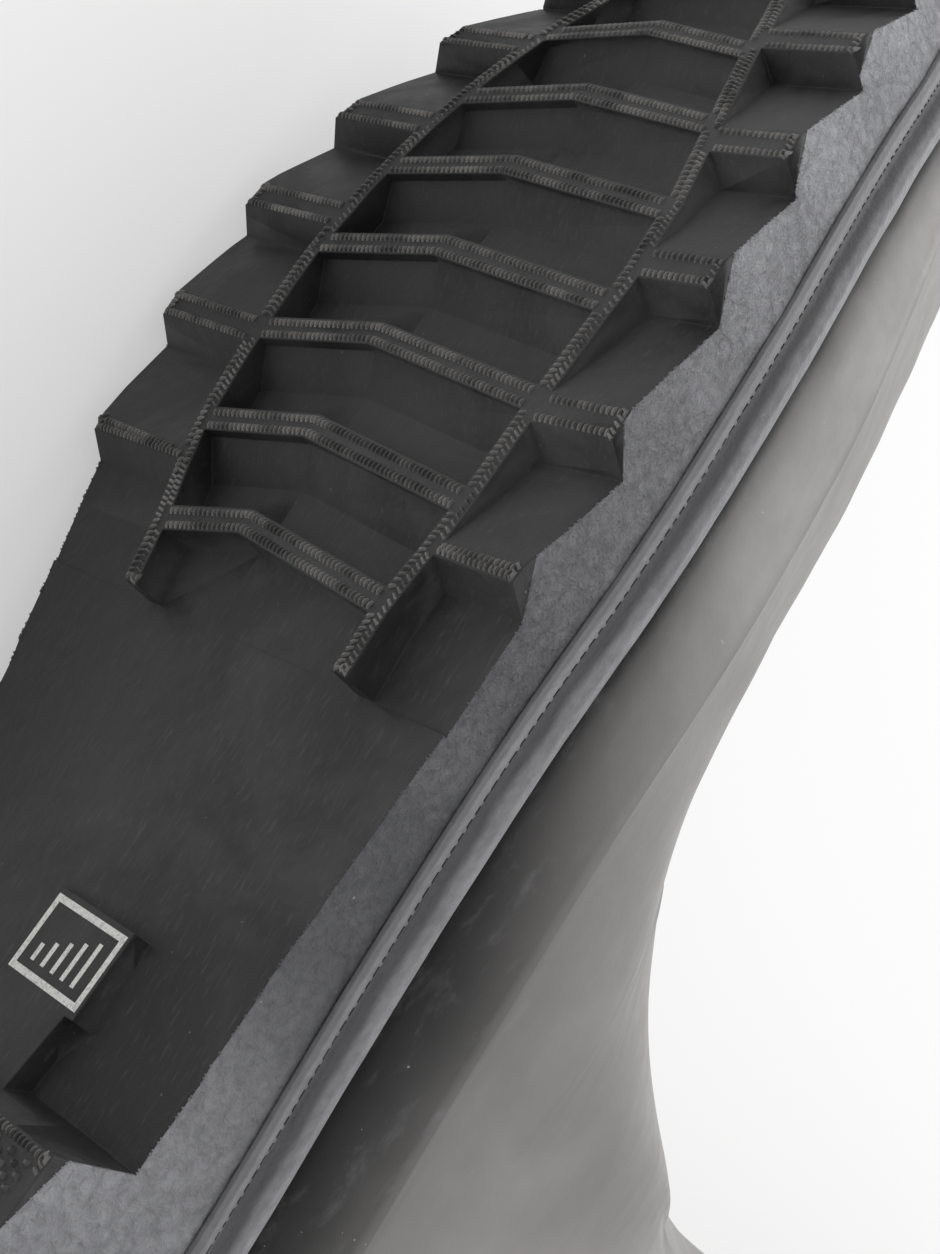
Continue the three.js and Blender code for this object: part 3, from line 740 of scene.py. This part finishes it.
strip_form = smoothed(worn_copy("trim_strip"), 2)
strip_form.normal_update()
teeth = bmesh.new()
for edge in edges_between(strip_form, faces_out, faces_up):
    start, end = (vertex.co for vertex in edge.verts)
    run = end - start
    centre = (start + end) / 2
    outward = edge.link_faces[0].normal + edge.link_faces[1].normal
    outward.z = 0
    if run.length == 0 or outward.dot(centre - Vector((SOLE_LENGTH / 2, 0, centre.z))) < 0:
        continue
    outward.normalize()
    steps = max(1, round(run.length / TOOTH_PITCH))
    for step in range(steps):
        place = start + run * ((step + random.uniform(0.35, 0.65)) / steps)
        reach = TOOTH_REACH * random.uniform(0.7, 1.15)
        place -= outward * TOOTH_INSET
        stamp(teeth, place, run.normalized(), outward, TOOTH_HALF, TOOTH_THIN, reach, UP)
print("teeth", len(teeth.verts) // 8)
mark_heights(strip_form, ABOVE_TRIM)
mark_heights(teeth, ABOVE_TRIM)
strip_piece = make_piece("trim_strip_skin", strip_form, [strip_finish])
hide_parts("trim_strip")
teeth_piece = make_piece("trim_teeth", teeth, [strip_finish], smooth=False)

# %% [markdown]
# The band is a soft extrusion. Subdivision rounds its bead, and a slow ripple of a tenth of a millimetre
# shows that it was laid by hand.

# %% Foxing band
RIPPLE = 0.14
RIPPLE_PACE = 0.12


def rippled(mesh, depth, pace):
    mesh.normal_update()
    for vertex in mesh.verts:
        vertex.co += vertex.normal * depth * field.noise(vertex.co * pace)


band_form = smoothed(worn_copy("foxing_band"), 2)
mark_heights(band_form, ABOVE_TRIM)
rippled(band_form, RIPPLE, RIPPLE_PACE)
band_piece = make_piece("foxing_band_skin", band_form, [band_finish])
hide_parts("foxing_band")

# %% [markdown]
# The upper is one thin wall. Its outside is satin rubber and its inside is the knitted lining. Rubber keeps
# the folds of its last use, so a few soft troughs lie across the ankle and the throat, and small puckers
# stand above the band. Each row gives a trough's two ends in the worn frame, its half width and its depth.
# The next two tables give how far the colour rises out of the painted shade above the trim line, at the heel
# and at the toe.

# %% Upper
FOLDS = [
    {"start": (92, 44, 128), "end": (128, 12, 122), "half": 8.0, "depth": 1.5},
    {"start": (60, 44, 112), "end": (112, 36, 108), "half": 9.0, "depth": 1.3},
    {"start": (20, 30, 150), "end": (80, 46, 160), "half": 10.0, "depth": 1.4},
    {"start": (30, 40, 200), "end": (96, 48, 186), "half": 12.0, "depth": 1.6},
    {"start": (146, 36, 66), "end": (196, 34, 56), "half": 7.0, "depth": 0.7},
    {"start": (92, -42, 126), "end": (130, -10, 120), "half": 8.0, "depth": 1.4},
    {"start": (40, -42, 150), "end": (100, -40, 140), "half": 10.0, "depth": 1.2},
    {"start": (30, -46, 240), "end": (110, -46, 260), "half": 14.0, "depth": 1.4},
]
PUCKERS = [
    {"start": (100, 41, 40), "end": (108, 41, 37), "half": 2.2, "depth": -0.9},
    {"start": (96, 41, 36), "end": (101, 41, 42), "half": 1.8, "depth": 0.7},
    {"start": (222, 45, 26), "end": (226, 45, 27), "half": 1.4, "depth": -0.6},
    {"start": (231, 44, 28), "end": (233, 44, 29), "half": 1.2, "depth": -0.5},
]
WAVES = 0.45
WAVE_PACE = 0.02
TUCK_LOW = 6.0
TUCK_HIGH = 20.0
TUCK_DEPTH = 1.4
TUCK_AT_BALL = 0.4
FOLD_REACH = 3
OFF_WALL = 0.2
BALL_FROM = 125.0
BALL_FULL = 205.0
PAINTED_LIGHT_HEEL = [
    {"low": 9.0, "high": 12.0, "share": 0.16},
    {"low": 9.0, "high": 26.0, "share": 0.26},
    {"low": 22.0, "high": 27.5, "share": 0.34},
    {"low": 26.0, "high": 42.0, "share": 0.24},
]
PAINTED_LIGHT_TOE = [
    {"low": 9.0, "high": 11.0, "share": 0.5},
    {"low": 9.5, "high": 16.0, "share": 0.5},
]


def eased(low, high, value):
    share = max(0.0, min(1.0, (value - low) / (high - low)))
    return share * share * (3 - 2 * share)


def painted_light_at(rows, above):
    """How far the colour has risen out of the painted shade at a height above the trim line, from the rows of
    one profile.
    """
    return sum(row["share"] * eased(row["low"], row["high"], above) for row in rows)


def distance_to(point, start, end):
    run = end - start
    share = max(0.0, min(1.0, (point - start).dot(run) / run.length_squared))
    return (point - start - run * share).length


def pressed(vertices, rows):
    """Pushes vertices in along each row's line, or out where the depth is negative."""
    for vertex in vertices:
        depth = 0.0
        for row in rows:
            away = distance_to(vertex.co, Vector(row["start"]), Vector(row["end"])) / row["half"]
            if away < FOLD_REACH:
                depth += row["depth"] * math.exp(-away * away)
        vertex.co -= vertex.normal * depth


def is_lining(face, outside):
    """True where a ray along the face's own direction meets the wall on the other side of the foot."""
    centre = face.calc_center_median()
    return outside.ray_cast(centre + face.normal * OFF_WALL, face.normal)[0] is not None


upper_form = worn_copy("upper")
upper_form.normal_update()
upper_tree = BVHTree.FromBMesh(upper_form)
for face in upper_form.faces:
    face.material_index = 1 if is_lining(face, upper_tree) else 0
upper_form = smoothed(upper_form, 2)
upper_form.normal_update()
painted_light_layer = upper_form.verts.layers.float.new(PAINTED_LIGHT_RAMP)
outer = [
    vertex for vertex in upper_form.verts if all(face.material_index == 0 for face in vertex.link_faces)
]
pressed(outer, FOLDS + PUCKERS)
# This attribute sets where the upper's colour is darkened near the band as painted shade.
for vertex in upper_form.verts:
    above = vertex.co.z - trim_line(vertex.co.x)
    toward_toe = eased(BALL_FROM, BALL_FULL, vertex.co.x)
    at_heel, at_toe = painted_light_at(PAINTED_LIGHT_HEEL, above), painted_light_at(PAINTED_LIGHT_TOE, above)
    vertex[painted_light_layer] = at_heel + (at_toe - at_heel) * toward_toe
for vertex in outer:
    above = vertex.co.z - trim_line(vertex.co.x)
    tucked = 1.0 - eased(TUCK_LOW, TUCK_HIGH, above)
    kept = 1.0 - (1.0 - TUCK_AT_BALL) * eased(BALL_FROM, BALL_FULL, vertex.co.x)
    vertex.co -= vertex.normal * TUCK_DEPTH * tucked * kept
for vertex in upper_form.verts:
    vertex.co.y += WAVES * field.noise(vertex.co * WAVE_PACE)
upper_piece = make_piece("upper_skin", upper_form, [upper_finish, lining_finish])
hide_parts("upper")

# %% [markdown]
# The insole is a pad of felt over the sole. It is hardly seen, so a soft edge and the felt finish are enough.

# %% Insole
insole_form = smoothed(worn_copy("insole"), 1)
insole_piece = make_piece("insole_skin", insole_form, [felt_finish])
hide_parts("insole")

# %% [markdown]
# The block on the waist has a printed frame that holds plain graduated strokes, as on a gauge. The print is
# a skin of ink that stands a twentieth of a millimetre off the block.

# %% Printed frame on the size block
BLOCK_FACE = 4.9
FRAME_LOW = (102.5, 6.5)
FRAME_HIGH = (113.2, 22.8)
STRIPE = 0.95
INK = 0.06
STROKES = 5
STROKE_WIDTH = 0.8
STROKE_FOOT = 2.1
STROKE_FIRST = 2.4
STROKE_GROWTH = 0.95


def printed_bar(mesh, low, high):
    size = Vector((high[0] - low[0], high[1] - low[1], 2 * INK))
    centre = Vector(((low[0] + high[0]) / 2, (low[1] + high[1]) / 2, BLOCK_FACE))
    place = Matrix.Translation(centre) @ Matrix.Diagonal(size).to_4x4()
    bmesh.ops.create_cube(mesh, size=1.0, matrix=place)


ink = bmesh.new()
printed_bar(ink, FRAME_LOW, (FRAME_LOW[0] + STRIPE, FRAME_HIGH[1]))
printed_bar(ink, (FRAME_HIGH[0] - STRIPE, FRAME_LOW[1]), FRAME_HIGH)
printed_bar(ink, (FRAME_LOW[0] + STRIPE, FRAME_LOW[1]), (FRAME_HIGH[0] - STRIPE, FRAME_LOW[1] + STRIPE))
printed_bar(ink, (FRAME_LOW[0] + STRIPE, FRAME_HIGH[1] - STRIPE), (FRAME_HIGH[0] - STRIPE, FRAME_HIGH[1]))
room = FRAME_HIGH[1] - FRAME_LOW[1] - 2 * STRIPE
for stroke in range(STROKES):
    y = FRAME_LOW[1] + STRIPE + room * (stroke + 1) / (STROKES + 1)
    foot = FRAME_LOW[0] + STROKE_FOOT
    tall = STROKE_FIRST + stroke * STROKE_GROWTH
    printed_bar(ink, (foot, y - STROKE_WIDTH / 2), (foot + tall, y + STROKE_WIDTH / 2))
ink_piece = make_piece("size_print", ink, [ink_finish], smooth=False)

# %% [markdown]
# The picture was taken from under the sole and from the outer side, close enough for strong perspective.
# The camera's place and its two directions are in the worn frame, like everything else.

# %% Camera
CAMERA_PLACE = (106.7, 244.5, -169.0)
PICTURE_RIGHT = Vector((0.5635, 0.624, 0.5413))
LOOKING = Vector((0.2126, -0.7428, 0.6349))
SENSOR = 36.0
LENS = 66.88

camera_data = bpy.data.cameras.new("view")
camera_data.sensor_fit = "VERTICAL"
camera_data.sensor_height = SENSOR
camera_data.lens = LENS
camera_data.clip_start = 0.01
camera = bpy.data.objects.new("view", camera_data)
bpy.context.scene.collection.objects.link(camera)
spin = to_scene.to_3x3().normalized()
right = (spin @ PICTURE_RIGHT).normalized()
back = -(spin @ LOOKING).normalized()
up = back.cross(right).normalized()
right = up.cross(back)
held = Matrix((right, up, back)).transposed().to_4x4()
camera.matrix_world = Matrix.Translation(to_scene @ Vector(CAMERA_PLACE)) @ held
bpy.context.scene.camera = camera

# %% [markdown]
# The studio is a sweep of pale paper, lit a little from below, under an even sky. One wide, soft light
# stands behind the boot and above it, so the outer side and the upper are bright and the tread stays dark.

# %% Studio
FLOOR_HALF = 6.0
SKY = 0.74
KEY_FROM = Vector((0.75, -0.5, 0.62))
KEY_STRENGTH = 1.75
KEY_SPREAD = 70
PAPER_DARK = (0.56, 0.56, 0.56)
PAPER_LIGHT = (0.58, 0.58, 0.58)
PAPER_GLOW = 0.4


def paper():
    material, tree, shader = new_finish("paper")
    place = tree.nodes.new("ShaderNodeTexCoord").outputs["Object"]
    tree.links.new(
        blend(tree, grain(tree, place, 3.0, 4.0), PAPER_DARK, PAPER_LIGHT), shader.inputs["Base Color"]
    )
    shader.inputs["Roughness"].default_value = 0.95
    shader.inputs["Specular IOR Level"].default_value = 0.1
    shader.inputs["Emission Color"].default_value = WHITE
    shader.inputs["Emission Strength"].default_value = PAPER_GLOW
    return material


ground = bmesh.new()
bmesh.ops.create_grid(ground, x_segments=2, y_segments=2, size=FLOOR_HALF)
ground_data = bpy.data.meshes.new("paper_sweep")
ground.to_mesh(ground_data)
ground.free()
ground_data.materials.append(paper())
floor = bpy.data.objects.new("paper_sweep", ground_data)
bpy.context.scene.collection.objects.link(floor)

world = bpy.data.worlds.new("studio")
world.use_nodes = True
world.node_tree.nodes["Background"].inputs["Color"].default_value = WHITE
world.node_tree.nodes["Background"].inputs["Strength"].default_value = SKY
bpy.context.scene.world = world

key_data = bpy.data.lights.new("key", "SUN")
key_data.energy = KEY_STRENGTH
key_data.angle = math.radians(KEY_SPREAD)
key = bpy.data.objects.new("key", key_data)
key.rotation_euler = (-KEY_FROM).to_track_quat("-Z", "Y").to_euler()
bpy.context.scene.collection.objects.link(key)
bpy.context.scene.view_settings.view_transform = "Standard"
